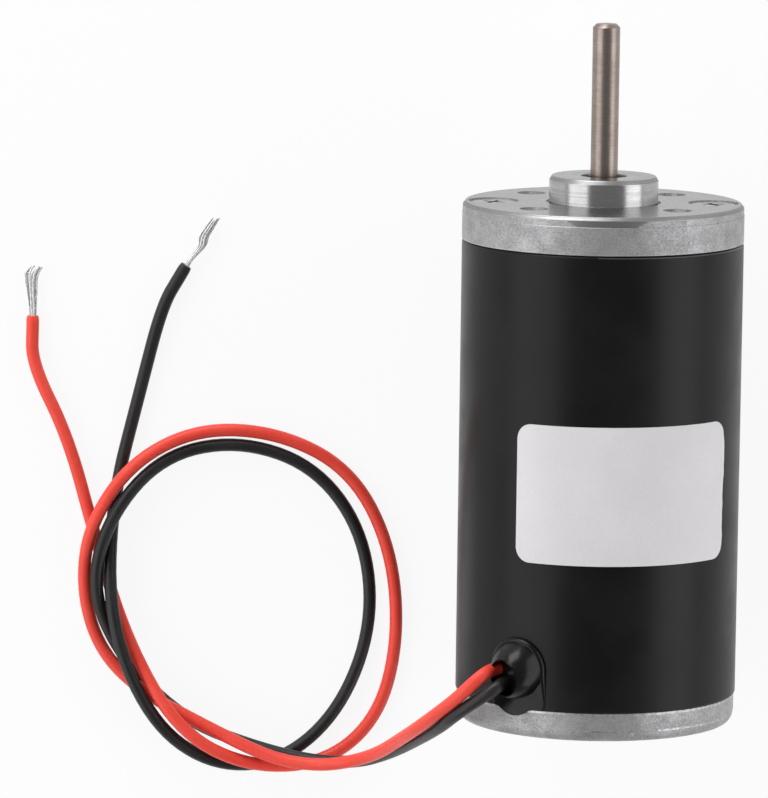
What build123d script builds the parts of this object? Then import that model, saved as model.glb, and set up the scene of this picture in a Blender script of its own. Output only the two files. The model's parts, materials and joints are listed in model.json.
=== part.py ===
from build123d import *
import os
from math import asin, cos, degrees, radians, sin, tan

os.makedirs("parts", exist_ok=True)

# A small brushed permanent-magnet motor lying on its side, with two loose leads beside it.
# Millimetres. The shaft points along +Y and +Z is up from the table.
# The origin is the centre of the mounting face.
# A depth is measured from the mounting face towards the rear, along -Y.

# Driving dimensions of the shell
body_diameter = 31.0
tube_wall = 1.5
tube_length = 50.1
flange_height = 4.2
flange_chamfer = 0.75
cap_step = 0.15
cap_height = 3.2
cap_chamfer = 0.9
cap_wall = 1.5
boss_diameter = 12.0
boss_height = 2.9
boss_chamfer = 0.35
boss_opening_diameter = 5.0
front_spigot_height = 2.5
front_spigot_wall = 1.3
cap_spigot_height = 2.9
hub_wall = 1.6

# Driving dimensions of the fasteners
mount_circle_diameter = 22.0
mount_hole_diameter = 2.5
mount_hole_count = 4
screw_diameter = 3.0
screw_wall_gap = 0.43
screw_head_diameter = 5.5
screw_head_sink = 0.05
screw_end_recess = 0.6
cross_width = 0.7
cross_length = 2.9
cross_depth = 0.9
plate_screw_diameter = 2.0
plate_screw_inset = 3.535
plate_screw_angle = 45.0
plate_screw_head_diameter = 3.5
plate_screw_head_height = 1.2
plate_screw_length = 4.6

# Driving dimensions of the rotor
shaft_diameter = 3.0
shaft_reach = 19.6
shaft_chamfer = 0.4
shaft_end_room = 0.3
shaft_relief_width = 0.7
shaft_relief_diameter = 2.5
bush_diameter = 8.0
bush_length = 5.0
washer_diameter = 6.4
washer_thickness = 0.5
collar_diameter = 5.2
core_setback = 7.8
slot_count = 8
slot_mouth = 1.5
slot_angle = 24.0
slot_depth = 4.3
tooth_tip = 1.2
slot_liner = 0.25
insulator_thickness = 0.5
coil_head_length = 3.6
coil_head_inner_diameter = 6.4
coil_head_step = 0.9
coil_head_sides = 16
coil_head_chamfer = 1.2
rear_collar_length = 4.1
commutator_diameter = 9.0
commutator_hub_diameter = 6.4
commutator_length = 7.7
commutator_lead_in = 1.5
commutator_tail = 0.6
bar_gap_angle = 5.0
riser_diameter = 11.2
riser_length = 1.0
riser_angle = 18.0

# Driving dimensions of the magnets and the brush gear
magnet_thickness = 3.3
magnet_overhang = 3.0
magnet_angle = 132.0
plate_thickness = 1.2
brush_width = 3.0
brush_height = 4.0
holder_wall = 0.4
holder_start = 6.0
holder_gap = 1.75
spring_length = 2.6
spring_outer_diameter = 2.4
spring_inner_diameter = 1.5
spring_sides = 8
strip_thickness = 0.4
strip_inset = 0.3
strip_width = 1.2
plate_notch_depth = 2.5
tab_width = 0.85
tab_offset = 0.78
tab_thickness = 0.4
tab_gap = 1.0
red_tab_rise = 0.9
black_tab_drop = 1.7

# Driving dimensions of the grommet and the label
grommet_angle = 34.0
grommet_setback = 3.9
grommet_flange_width = 7.1
grommet_flange_top = 4.05
grommet_flange_thickness = 0.7
grommet_lobe_width = 4.0
grommet_lobe_reach = 0.8
grommet_plug_width = 5.0
grommet_plug_top = 2.5
grommet_lip_width = 6.4
grommet_lip_thickness = 0.5
grommet_lip_drop = 0.85
dome_base_diameter = 6.2
dome_top_diameter = 4.9
dome_height = 2.5
dome_chamfer = 0.5
lead_slot_length = 3.6
lead_slot_width = 2.4
label_width = 15.2
label_gap = 8.3
label_tilt = 11.5
label_sweep_angle = 96.0
label_thickness = 0.1
label_corner = 1.7

# Driving dimensions of the leads
lead_diameter = 1.45
lead_sides = 6
corner_share = 0.45
sample_step = 0.5
strand_count = 6
strand_sides = 6
strand_diameter = 0.26
strand_length = 5.8
strand_ring_radius = 0.36
strand_rise_angle = 1.5
strand_fan_angle = 6.5

# Clearances
press_clearance = 0.01
running_clearance = 0.02
seat_clearance = 0.05
slide_clearance = 0.05
air_gap = 0.58
thrust_play = 0.1
thread_clearance = 0.05
screw_clearance = 0.2
plate_clearance = 0.1
brush_clearance = 0.05
skin_clearance = 0.02

# Stations along the axis, as depths behind the mounting face
tube_front = flange_height
tube_back = tube_front + tube_length
cap_back = tube_back + cap_height
front_bush_back = flange_height
front_bush_front = front_bush_back - bush_length
rear_bush_back = cap_back - cap_wall
rear_bush_front = rear_bush_back - bush_length
front_washer_front = front_bush_back + thrust_play
rear_washer_front = rear_bush_front - thrust_play - washer_thickness
bar_back = rear_washer_front - commutator_tail
bar_front = bar_back - commutator_length
hub_front = bar_front - commutator_lead_in
rear_collar_front = hub_front - rear_collar_length
core_front = tube_front + core_setback
core_back = rear_collar_front - insulator_thickness
core_length = core_back - core_front
magnet_front = core_front - magnet_overhang
magnet_length = core_length + 2 * magnet_overhang
grommet_depth = tube_back - grommet_setback
plate_back = tube_back - cap_spigot_height
plate_front = plate_back - plate_thickness
holder_height = brush_height + 2 * slide_clearance + 2 * holder_wall
holder_middle = plate_front - holder_height / 2

# Radii that several pieces share
body_radius = body_diameter / 2
bore_radius = body_radius - tube_wall
shaft_radius = shaft_diameter / 2
bush_radius = bush_diameter / 2
screw_radius = screw_diameter / 2
screw_circle_radius = bore_radius - screw_wall_gap - screw_radius
boss_radius = boss_diameter / 2
hub_radius = bush_radius + hub_wall
spigot_radius = bore_radius - seat_clearance
rotor_bore_radius = shaft_radius + press_clearance
cap_radius = body_radius - cap_step
cap_spigot_radius = bore_radius - plate_clearance
magnet_outer = bore_radius - skin_clearance
magnet_inner = magnet_outer - magnet_thickness
core_radius = magnet_inner - air_gap
slot_outer_radius = core_radius - tooth_tip
slot_inner_radius = slot_outer_radius - slot_depth
coil_head_radius = core_radius - coil_head_step
screw_cone_height = (screw_head_diameter - screw_diameter) / 2
plate_screw_radius = bore_radius - plate_screw_inset
brush_start = commutator_diameter / 2 + brush_clearance
spring_end = bore_radius - holder_gap - holder_wall
brush_end = spring_end - spring_length
strip_inner_radius = hub_radius + plate_clearance + strip_inset
strip_outer_radius = strip_inner_radius + strip_width
tab_radius = bore_radius - tab_gap

# The two leads, from the solder tab inside the shell to the stripped end, each point chosen on the photograph
red_route = [
    (-7.7, -49.6, 10.6),
    (-11.3, -49.6, 16.0),
    (-16.3, -53.6, 16.2),
    (-19.7, -57.6, 7.8),
    (-21.7, -60.2, 1.6),
    (-23.9, -62.8, -4.1),
    (-26.9, -64.6, -8.0),
    (-30.9, -65.5, -9.9),
    (-36.2, -64.9, -11.0),
    (-43.2, -62.0, -12.6),
    (-51.1, -58.9, -13.5),
    (-55.7, -53.4, -14.8),
    (-57.8, -46.3, -14.3),
    (-56.8, -38.7, -12.5),
    (-52.0, -31.5, -13.1),
    (-44.4, -27.8, -14.4),
    (-35.2, -28.4, -14.7),
    (-27.3, -32.6, -14.7),
    (-22.8, -41.2, -14.7),
    (-21.8, -51.7, -14.7),
    (-24.0, -60.9, -14.8),
    (-30.1, -66.2, -14.4),
    (-39.1, -66.2, -12.3),
    (-46.8, -61.6, -10.4),
    (-52.7, -51.9, -14.1),
    (-56.3, -40.3, -14.9),
    (-59.3, -29.1, -14.4),
    (-63.5, -20.8, -14.7),
    (-63.5, -15.5, -14.7),
]
black_route = [
    (-7.0, -51.2, 11.1),
    (-10.3, -51.2, 16.0),
    (-15.4, -54.8, 15.2),
    (-17.2, -57.2, 9.1),
    (-19.8, -60.2, 1.6),
    (-22.6, -63.0, -5.4),
    (-26.2, -65.0, -9.8),
    (-31.2, -65.4, -11.8),
    (-37.9, -64.1, -13.2),
    (-45.8, -61.5, -14.8),
    (-52.6, -55.1, -14.7),
    (-56.6, -46.7, -13.2),
    (-54.8, -38.1, -11.9),
    (-48.9, -31.1, -14.2),
    (-40.3, -29.2, -14.8),
    (-31.5, -32.0, -14.6),
    (-25.9, -39.6, -14.7),
    (-24.7, -49.9, -14.7),
    (-28.3, -60.0, -14.6),
    (-35.0, -66.2, -14.8),
    (-43.0, -66.6, -14.3),
    (-49.8, -60.9, -11.4),
    (-54.2, -49.8, -12.1),
    (-54.1, -36.4, -14.8),
    (-51.3, -23.8, -14.7),
    (-48.9, -14.1, -14.6),
    (-46.4, -9.3, -14.7),
]


def station(depth):
    """A plane square to the shaft, this far behind the mounting face, that extrudes towards the rear."""
    return Plane.XZ.offset(depth)


mounting_face = Plane(origin=(0, 0, 0), x_dir=(1, 0, 0), z_dir=(0, 1, 0))


def save(part, name):
    """Label one finished piece and write it."""
    part.label = name
    export_step(part, f"parts/{name}.step")


def ring_sector(inner, outer, start, sweep):
    """Draw a slice of a ring, with its angles from +X towards +Z."""
    with BuildLine() as outline:
        outer_arc = CenterArc((0, 0), outer, start, sweep)
        inner_arc = CenterArc((0, 0), inner, start, sweep)
        Line(outer_arc @ 0, inner_arc @ 0)
        Line(outer_arc @ 1, inner_arc @ 1)
    make_face(outline.edges())


def sleeve(name, inner, outer, front, back):
    """A plain ring round the shaft axis between two depths."""
    with BuildPart() as ring:
        with BuildSketch(station(front)):
            Circle(outer)
            Circle(inner, mode=Mode.SUBTRACT)
        extrude(amount=back - front)
    save(ring.part, name)


# Housing tube, with an open notch at its rear edge for the grommet
grommet_out = (-sin(radians(grommet_angle)), 0, cos(radians(grommet_angle)))
grommet_side = (cos(radians(grommet_angle)), 0, sin(radians(grommet_angle)))
grommet_plane = Plane(origin=(0, -grommet_depth, 0), x_dir=grommet_side, z_dir=grommet_out)
notch_drop = tube_back - grommet_depth


def horseshoe(width, top, bottom):
    """Draw a round-topped plate on the grommet's plane, whose local +Y points to the shaft end."""
    centre = top - width / 2
    with Locations((0, centre)):
        Circle(width / 2)
    with Locations((0, (centre + bottom) / 2)):
        Rectangle(width, centre - bottom)


with BuildPart() as housing_tube:
    with BuildSketch(station(tube_front)):
        Circle(body_radius)
        Circle(bore_radius, mode=Mode.SUBTRACT)
    extrude(amount=tube_length)
    with BuildSketch(grommet_plane.offset(bore_radius - tube_wall)):
        notch_width = grommet_plug_width + 2 * seat_clearance
        horseshoe(notch_width, grommet_plug_top + seat_clearance, -notch_drop - tube_wall)
    extrude(amount=3 * tube_wall, mode=Mode.SUBTRACT)
save(housing_tube.part, "housing_tube")

# Front flange: plate, pilot boss, bush seat, spigot, tapped holes and countersunk holes
with BuildPart() as front_flange:
    with BuildSketch(station(0)):
        Circle(body_radius)
    extrude(amount=flange_height)
    chamfer(front_flange.edges().group_by(Axis.Y)[-1], flange_chamfer)
    with BuildSketch(station(-boss_height)):
        Circle(boss_radius)
    extrude(amount=boss_height)
    chamfer(front_flange.edges().group_by(Axis.Y)[-1], boss_chamfer)
    with BuildSketch(station(tube_front)):
        Circle(spigot_radius)
        Circle(spigot_radius - front_spigot_wall, mode=Mode.SUBTRACT)
        Rectangle(body_diameter, screw_head_diameter, mode=Mode.SUBTRACT)
    extrude(amount=front_spigot_height)
    with BuildSketch(station(-boss_height)):
        Circle(boss_opening_diameter / 2)
    extrude(amount=boss_height + flange_height, mode=Mode.SUBTRACT)
    with BuildSketch(station(front_bush_front)):
        Circle(bush_radius + press_clearance)
    extrude(amount=bush_length, mode=Mode.SUBTRACT)
    with Locations(mounting_face):
        with PolarLocations(mount_circle_diameter / 2, mount_hole_count, start_angle=45):
            Hole(mount_hole_diameter / 2, depth=flange_height)
        with PolarLocations(screw_circle_radius, 2):
            CounterSinkHole(
                screw_radius + screw_clearance,
                screw_head_diameter / 2 + seat_clearance,
                depth=flange_height,
                counter_sink_angle=90,
            )
save(front_flange.part, "front_flange")

# Rear cap: closed plate, brush plate seat, bush hub and tapped holes for both kinds of screw
with BuildPart() as rear_cap:
    with BuildSketch(station(tube_back)):
        Circle(cap_radius)
    extrude(amount=cap_height)
    chamfer(rear_cap.edges().group_by(Axis.Y)[0], cap_chamfer)
    with BuildSketch(station(plate_back)):
        Circle(cap_spigot_radius)
        with Locations(Location((0, 0, 0), (0, 0, grommet_angle))):
            Rectangle(grommet_lip_width, body_diameter, align=(Align.CENTER, Align.MIN), mode=Mode.SUBTRACT)
    extrude(amount=cap_spigot_height)
    with BuildSketch(station(rear_bush_front)):
        Circle(hub_radius)
    extrude(amount=tube_back - rear_bush_front)
    with BuildSketch(station(rear_bush_front)):
        Circle(bush_radius + press_clearance)
    extrude(amount=bush_length, mode=Mode.SUBTRACT)
    with BuildSketch(station(plate_back)):
        with PolarLocations(screw_circle_radius, 2):
            Circle(screw_radius + thread_clearance)
    extrude(amount=cap_spigot_height + cap_height, mode=Mode.SUBTRACT)
    with BuildSketch(station(plate_back)):
        with PolarLocations(plate_screw_radius, 2, -plate_screw_angle, 4 * plate_screw_angle):
            Circle(plate_screw_diameter / 2 + thread_clearance)
    extrude(amount=plate_screw_length - plate_thickness, mode=Mode.SUBTRACT)
save(rear_cap.part, "rear_cap")

# Two long countersunk screws that clamp the flange, the tube and the cap together
with BuildPart() as through_screws:
    with BuildSketch(station(screw_head_sink)):
        with PolarLocations(screw_circle_radius, 2):
            Circle(screw_radius)
    extrude(amount=cap_back - screw_end_recess - screw_head_sink)
    with Locations(mounting_face.offset(-screw_head_sink)):
        with PolarLocations(screw_circle_radius, 2):
            Cone(
                screw_radius,
                screw_head_diameter / 2,
                screw_cone_height,
                align=(Align.CENTER, Align.CENTER, Align.MAX),
            )
    with BuildSketch(station(screw_head_sink)):
        with PolarLocations(screw_circle_radius, 2):
            Rectangle(cross_length, cross_width)
            Rectangle(cross_width, cross_length)
    extrude(amount=cross_depth, mode=Mode.SUBTRACT)
save(through_screws.part, "through_screws")

# Two arc magnets glued inside the tube, above and below the shaft
for magnet_name, magnet_middle in (("magnet_upper", 90), ("magnet_lower", 270)):
    with BuildPart() as magnet:
        with BuildSketch(station(magnet_front)):
            ring_sector(magnet_inner, magnet_outer, magnet_middle - magnet_angle / 2, magnet_angle)
        extrude(amount=magnet_length)
    save(magnet.part, magnet_name)

# Sintered bushes in the flange and in the cap
bush_bore = shaft_radius + running_clearance
sleeve("front_bush", bush_bore, bush_radius, front_bush_front, front_bush_back)
sleeve("rear_bush", bush_bore, bush_radius, rear_bush_front, rear_bush_back)

# Shaft, with a short relief groove level with the boss face
with BuildPart() as shaft:
    with BuildSketch(Plane.XY):
        with BuildLine():
            Polyline(
                (0, shaft_end_room - rear_bush_back),
                (shaft_radius, shaft_end_room - rear_bush_back),
                (shaft_radius, boss_height - shaft_relief_width),
                (shaft_relief_diameter / 2, boss_height - shaft_relief_width),
                (shaft_relief_diameter / 2, boss_height),
                (shaft_radius, boss_height),
                (shaft_radius, shaft_reach - shaft_chamfer),
                (shaft_radius - shaft_chamfer, shaft_reach),
                (0, shaft_reach),
                close=True,
            )
        make_face()
    revolve(axis=Axis.Y)
save(shaft.part, "shaft")

# Washers and collars that set the rotor's place along the shaft
front_collar_front = front_washer_front + washer_thickness
front_collar_back = core_front - insulator_thickness
sleeve("front_collar", rotor_bore_radius, collar_diameter / 2, front_collar_front, front_collar_back)
sleeve("rear_collar", rotor_bore_radius, collar_diameter / 2, rear_collar_front, hub_front)
sleeve("front_washer", rotor_bore_radius, washer_diameter / 2, front_washer_front, front_collar_front)
rear_washer_back = rear_washer_front + washer_thickness
sleeve("rear_washer", rotor_bore_radius, washer_diameter / 2, rear_washer_front, rear_washer_back)


def slots(liner):
    """Draw the armature's slots, drawn in by the thickness of a liner."""
    low = slot_inner_radius + liner
    high = slot_outer_radius - liner
    half_inner = low * tan(radians(slot_angle / 2)) - liner
    half_outer = high * tan(radians(slot_angle / 2)) - liner
    with PolarLocations(0, slot_count):
        Polygon((low, -half_inner), (high, -half_outer), (high, half_outer), (low, half_inner), align=None)


def lamination(front, thickness):
    """Add a slice of the slotted armature stack to the part being built."""
    with BuildSketch(station(front)) as teeth:
        Circle(core_radius)
        Circle(rotor_bore_radius, mode=Mode.SUBTRACT)
    with BuildSketch(station(front)) as openings:
        slots(0)
        with PolarLocations(core_radius, slot_count):
            Rectangle(core_radius - slot_inner_radius, slot_mouth)
    extrude(teeth.sketch - openings.sketch, amount=thickness)


# Armature: slotted steel stack, its end insulators and the copper in the slots and the coil heads
with BuildPart() as armature_core:
    lamination(core_front, core_length)
save(armature_core.part, "armature_core")

with BuildPart() as end_insulators:
    lamination(core_front - insulator_thickness, insulator_thickness)
    lamination(core_back, insulator_thickness)
save(end_insulators.part, "end_insulators")

coil_front = core_front - insulator_thickness - coil_head_length
coil_back = core_back + insulator_thickness
with BuildPart() as armature_windings:
    for head_front in (coil_front, coil_back):
        with BuildSketch(station(head_front)):
            RegularPolygon(coil_head_radius, coil_head_sides)
            RegularPolygon(coil_head_inner_diameter / 2, coil_head_sides, mode=Mode.SUBTRACT)
        extrude(amount=coil_head_length)
    chamfer(armature_windings.edges().group_by(Axis.Y)[0], coil_head_chamfer)
    chamfer(armature_windings.edges().group_by(Axis.Y)[-1], coil_head_chamfer)
    with BuildSketch(station(coil_front + coil_head_length)):
        slots(slot_liner)
    extrude(amount=core_length + 2 * insulator_thickness)
save(armature_windings.part, "armature_windings")

# Commutator: moulded hub and copper bars with their risers
commutator_hub_radius = commutator_hub_diameter / 2
sleeve("commutator_hub", rotor_bore_radius, commutator_hub_radius, hub_front, rear_washer_front)

bar_pitch = 360 / slot_count
bar_inner = commutator_hub_radius + press_clearance
with BuildPart() as commutator_bars:
    with BuildSketch(station(bar_front)):
        for bar in range(slot_count):
            ring_sector(bar_inner, commutator_diameter / 2, bar * bar_pitch, bar_pitch - bar_gap_angle)
    extrude(amount=bar_back - bar_front)
    with BuildSketch(station(bar_front)):
        for bar in range(slot_count):
            riser_start = bar * bar_pitch + (bar_pitch - bar_gap_angle - riser_angle) / 2
            ring_sector(bar_inner, riser_diameter / 2, riser_start, riser_angle)
    extrude(amount=riser_length)
save(commutator_bars.part, "commutator_bars")

# Brush plate on the rear cap's seat, open round the through screws and at the grommet
with BuildPart() as brush_plate:
    with BuildSketch(station(plate_front)):
        Circle(cap_spigot_radius)
        Circle(hub_radius + plate_clearance, mode=Mode.SUBTRACT)
        with PolarLocations(screw_circle_radius + screw_diameter, 2):
            SlotCenterToCenter(2 * screw_diameter, screw_diameter + 2 * screw_clearance, mode=Mode.SUBTRACT)
        with PolarLocations(plate_screw_radius, 2, -plate_screw_angle, 4 * plate_screw_angle):
            Circle(plate_screw_diameter / 2 + thread_clearance, mode=Mode.SUBTRACT)
        with Locations(Location((0, 0, 0), (0, 0, grommet_angle))):
            with Locations((0, cap_spigot_radius - plate_notch_depth)):
                Rectangle(
                    grommet_lip_width, body_diameter, align=(Align.CENTER, Align.MIN), mode=Mode.SUBTRACT
                )
    extrude(amount=plate_thickness)
save(brush_plate.part, "brush_plate")

with BuildPart() as plate_screws:
    with BuildSketch(station(plate_front - plate_screw_head_height)):
        with PolarLocations(plate_screw_radius, 2, -plate_screw_angle, 4 * plate_screw_angle):
            RegularPolygon(plate_screw_head_diameter / 2, 6)
    extrude(amount=plate_screw_head_height)
    with BuildSketch(station(plate_front)):
        with PolarLocations(plate_screw_radius, 2, -plate_screw_angle, 4 * plate_screw_angle):
            Circle(plate_screw_diameter / 2)
    extrude(amount=plate_screw_length - plate_clearance)
save(plate_screws.part, "plate_screws")

# Brushes with their box holders and springs, above and below the commutator
holder_width = brush_width + 2 * slide_clearance + 2 * holder_wall
for side_name, side in (("upper", 1), ("lower", -1)):
    brush_plane = Plane(origin=(0, -holder_middle, 0), x_dir=(1, 0, 0), z_dir=(0, 0, side))
    with BuildPart() as holder:
        with BuildSketch(brush_plane.offset(holder_start)):
            Rectangle(holder_width, holder_height)
        extrude(amount=spring_end + holder_wall - holder_start)
        with BuildSketch(brush_plane.offset(holder_start)):
            Rectangle(holder_width - 2 * holder_wall, holder_height - 2 * holder_wall)
        extrude(amount=spring_end - holder_start, mode=Mode.SUBTRACT)
    save(holder.part, f"brush_holder_{side_name}")
    with BuildPart() as brush:
        with BuildSketch(brush_plane):
            Rectangle(brush_width, brush_height)
        extrude(amount=brush_end)
        with BuildSketch(station(bar_front)):
            Circle(brush_start)
        extrude(amount=rear_bush_front - bar_front, mode=Mode.SUBTRACT)
    save(brush.part, f"brush_{side_name}")
    with BuildPart() as spring:
        with BuildSketch(brush_plane.offset(brush_end)):
            RegularPolygon(spring_outer_diameter / 2, spring_sides)
            RegularPolygon(spring_inner_diameter / 2, spring_sides, mode=Mode.SUBTRACT)
        extrude(amount=spring_length)
    save(spring.part, f"brush_spring_{side_name}")

# Brass strips on the brush plate, from each holder to the solder tab of its lead
strip_middle = (strip_inner_radius + strip_outer_radius) / 2
holder_turn = degrees(asin((holder_width / 2 + plate_clearance) / strip_inner_radius))
red_strip_start = 90 + grommet_angle + 2
red_strip_end = 270 - holder_turn
black_strip_start = 90 + holder_turn
black_strip_end = 90 + grommet_angle - 2


def terminal(name, start, end, offset, tab_front, tab_back):
    """A flat strip with an arm along the grommet's line and a tab across the end of the lead."""
    with BuildPart() as strip:
        with BuildSketch(station(plate_front - strip_thickness)):
            ring_sector(strip_inner_radius, strip_outer_radius, start, end - start)
            with Locations(Location((0, 0, 0), (0, 0, grommet_angle))):
                with Locations((offset, strip_middle)):
                    Rectangle(tab_width, tab_radius - strip_middle, align=(Align.CENTER, Align.MIN))
        extrude(amount=strip_thickness)
        with BuildSketch(station(tab_front)):
            with Locations(Location((0, 0, 0), (0, 0, grommet_angle))):
                with Locations((offset, tab_radius)):
                    Rectangle(tab_width, tab_thickness, align=(Align.CENTER, Align.MAX))
        extrude(amount=tab_back - tab_front)
    save(strip.part, name)


strip_front = plate_front - strip_thickness
terminal("red_terminal", red_strip_start, red_strip_end, -tab_offset, strip_front - red_tab_rise, plate_front)
black_tab_back = plate_front + black_tab_drop
terminal("black_terminal", black_strip_start, black_strip_end, tab_offset, strip_front, black_tab_back)

# Rubber grommet: flange curved to the tube, plug in the notch, lip inside and a dome with one long hole
flange_inner = body_radius + skin_clearance
flange_outer = flange_inner + grommet_flange_thickness
with BuildPart() as lead_grommet:
    with BuildSketch(grommet_plane.offset(bore_radius)):
        horseshoe(grommet_flange_width, grommet_flange_top, -notch_drop)
        with Locations((0, -notch_drop)):
            Rectangle(grommet_lobe_width, 2 * grommet_lobe_reach)
    extrude(amount=3 * tube_wall)
    with BuildSketch(station(tube_front)):
        Circle(flange_outer)
    extrude(amount=cap_back - tube_front, mode=Mode.INTERSECT)
    with BuildSketch(station(tube_front)):
        Circle(flange_inner)
    extrude(amount=cap_back - tube_front, mode=Mode.SUBTRACT)
    with BuildSketch(grommet_plane.offset(bore_radius - grommet_lip_drop)):
        horseshoe(grommet_lip_width - 2 * seat_clearance, grommet_plug_top, seat_clearance - notch_drop)
    extrude(amount=grommet_lip_thickness)
    with BuildSketch(grommet_plane.offset(bore_radius - grommet_lip_drop)):
        horseshoe(grommet_plug_width, grommet_plug_top, seat_clearance - notch_drop)
    extrude(amount=grommet_lip_drop + tube_wall + grommet_flange_thickness / 2)
    with Locations(grommet_plane.offset(flange_inner)):
        Cone(
            dome_base_diameter / 2,
            dome_top_diameter / 2,
            dome_height + grommet_flange_thickness,
            align=(Align.CENTER, Align.CENTER, Align.MIN),
        )
    dome_top = lead_grommet.faces().sort_by_distance(grommet_plane.offset(body_diameter).origin)[0]
    chamfer(dome_top.edges(), dome_chamfer)
    with BuildSketch(grommet_plane.offset(bore_radius - tube_wall)):
        SlotOverall(lead_slot_length, lead_slot_width, rotation=90)
    extrude(amount=body_radius, mode=Mode.SUBTRACT)
save(lead_grommet.part, "lead_grommet")

# Bare rating label wrapped round the tube
label_inner = body_radius + skin_clearance
label_outer = label_inner + label_thickness
label_chord = 2 * label_outer * sin(radians(label_sweep_angle / 2))
label_front = grommet_depth - grommet_flange_top - label_gap - label_width
label_plane = Plane(
    origin=(0, -label_front - label_width / 2, 0),
    x_dir=(cos(radians(label_tilt)), 0, -sin(radians(label_tilt))),
    z_dir=(sin(radians(label_tilt)), 0, cos(radians(label_tilt))),
)
with BuildPart() as rating_label:
    with BuildSketch(station(label_front)):
        Circle(label_outer)
        Circle(label_inner, mode=Mode.SUBTRACT)
    extrude(amount=label_width)
    with BuildSketch(label_plane):
        RectangleRounded(label_chord, label_width, label_corner)
    extrude(amount=body_diameter, mode=Mode.INTERSECT)
save(rating_label.part, "rating_label")


def corner_radius(before, corner, after):
    """As large an arc as the two runs beside a corner allow."""
    run_in = Vector(corner) - Vector(before)
    run_out = Vector(after) - Vector(corner)
    return corner_share * min(run_in.length, run_out.length) / tan(radians(run_in.get_angle(run_out)) / 2)


def lead(name, route):
    """A lead of flat sides along straight runs and tangent arcs. Returns points along its centre line."""
    radii = [corner_radius(*route[i - 1 : i + 2]) for i in range(1, len(route) - 1)]
    first_run = Vector(route[1]) - Vector(route[0])
    with BuildPart() as cable:
        with BuildLine() as path:
            FilletPolyline(*route, radius=radii)
        with BuildSketch(Plane(origin=route[0], z_dir=first_run)) as section:
            RegularPolygon(lead_diameter / 2, lead_sides)
        sweep(path=path.wire())
    save(cable.part, name)
    length = path.wire().length
    expected = section.sketch.area * length
    print(name, "least radius", round(min(radii), 2), "length", round(length, 1))
    print(name, "volume over section times length", round(cable.part.volume / expected, 4))
    steps = int(length / sample_step)
    return [path.wire() @ (step / steps) for step in range(steps + 1)]


def strands(name, route):
    """Bare strands that fan out from the stripped end of a lead, mostly sideways along the table."""
    end = Vector(route[-1])
    tip = Plane(origin=end, x_dir=(0, 0, 1), z_dir=end - Vector(route[-2]))
    with BuildPart() as fan:
        with BuildSketch(tip):
            RegularPolygon(strand_diameter / 2, strand_sides)
        extrude(amount=strand_length)
        for strand in range(strand_count):
            turn = radians(360 / strand_count * strand)
            up = tip.x_dir * cos(turn)
            sideways = tip.y_dir * sin(turn)
            root = end + (up + sideways) * strand_ring_radius
            lean = up * tan(radians(strand_rise_angle)) + sideways * tan(radians(strand_fan_angle))
            with BuildSketch(Plane(origin=root, z_dir=tip.z_dir + lean)):
                RegularPolygon(strand_diameter / 2, strand_sides)
            extrude(amount=strand_length)
    save(fan.part, name)


red_line = lead("red_lead", red_route)
black_line = lead("black_lead", black_route)
strands("red_strands", red_route)
strands("black_strands", black_route)


def least_gap(line, other, skip):
    """Least clear distance between two sampled lines, leaving out samples close along the same lead."""
    gaps = [
        (a - b).length - lead_diameter
        for i, a in enumerate(line)
        for j, b in enumerate(other)
        if abs(i - j) > skip
    ]
    return round(min(gaps), 2)


near_samples = 20
print("least gap of the red lead to itself", least_gap(red_line, red_line, near_samples))
print("least gap of the black lead to itself", least_gap(black_line, black_line, near_samples))
print("least gap between the leads", least_gap(red_line, black_line, -1))
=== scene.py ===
import json
import math
import random
from types import SimpleNamespace

import bmesh
import bpy
from mathutils import Matrix, Vector


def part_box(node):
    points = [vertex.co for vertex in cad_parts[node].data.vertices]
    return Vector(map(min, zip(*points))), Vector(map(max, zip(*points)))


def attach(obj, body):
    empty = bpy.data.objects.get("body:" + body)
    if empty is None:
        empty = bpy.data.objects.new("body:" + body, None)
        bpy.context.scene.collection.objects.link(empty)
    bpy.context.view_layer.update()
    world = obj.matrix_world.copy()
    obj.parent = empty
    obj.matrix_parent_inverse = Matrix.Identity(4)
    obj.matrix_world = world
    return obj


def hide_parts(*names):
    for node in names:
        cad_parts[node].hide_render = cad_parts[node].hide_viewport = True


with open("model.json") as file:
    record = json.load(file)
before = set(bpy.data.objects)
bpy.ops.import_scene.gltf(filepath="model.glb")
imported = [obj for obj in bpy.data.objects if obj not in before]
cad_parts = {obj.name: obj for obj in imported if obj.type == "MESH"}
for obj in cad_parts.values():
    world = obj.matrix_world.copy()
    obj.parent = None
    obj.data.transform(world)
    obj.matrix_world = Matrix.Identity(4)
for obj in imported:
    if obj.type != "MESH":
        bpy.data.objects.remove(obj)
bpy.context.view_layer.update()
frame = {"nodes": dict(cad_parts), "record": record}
scene = bpy.context.scene
scene.view_settings.view_transform = "Standard"
mm = 0.001
tiny = 1e-6
print("frame loaded,", len(frame["nodes"]), "nodes")

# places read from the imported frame, in metres
tubeLow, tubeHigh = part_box("housing_tube")
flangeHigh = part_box("front_flange")[1]
capLow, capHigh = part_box("rear_cap")
shaftLow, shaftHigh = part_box("shaft")
bodyRadius = tubeHigh.x
tableTop = -bodyRadius


# camera at the photograph's viewpoint
cameraSet = {
    "place": (-0.02383, 0.083479, 0.736487),
    "tilt": 8.1677,  # degrees away from straight down
    "roll": 0.7506, "lens": 304.25, "sensor": 36.0, "clip": (0.05, 20),
}


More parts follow.
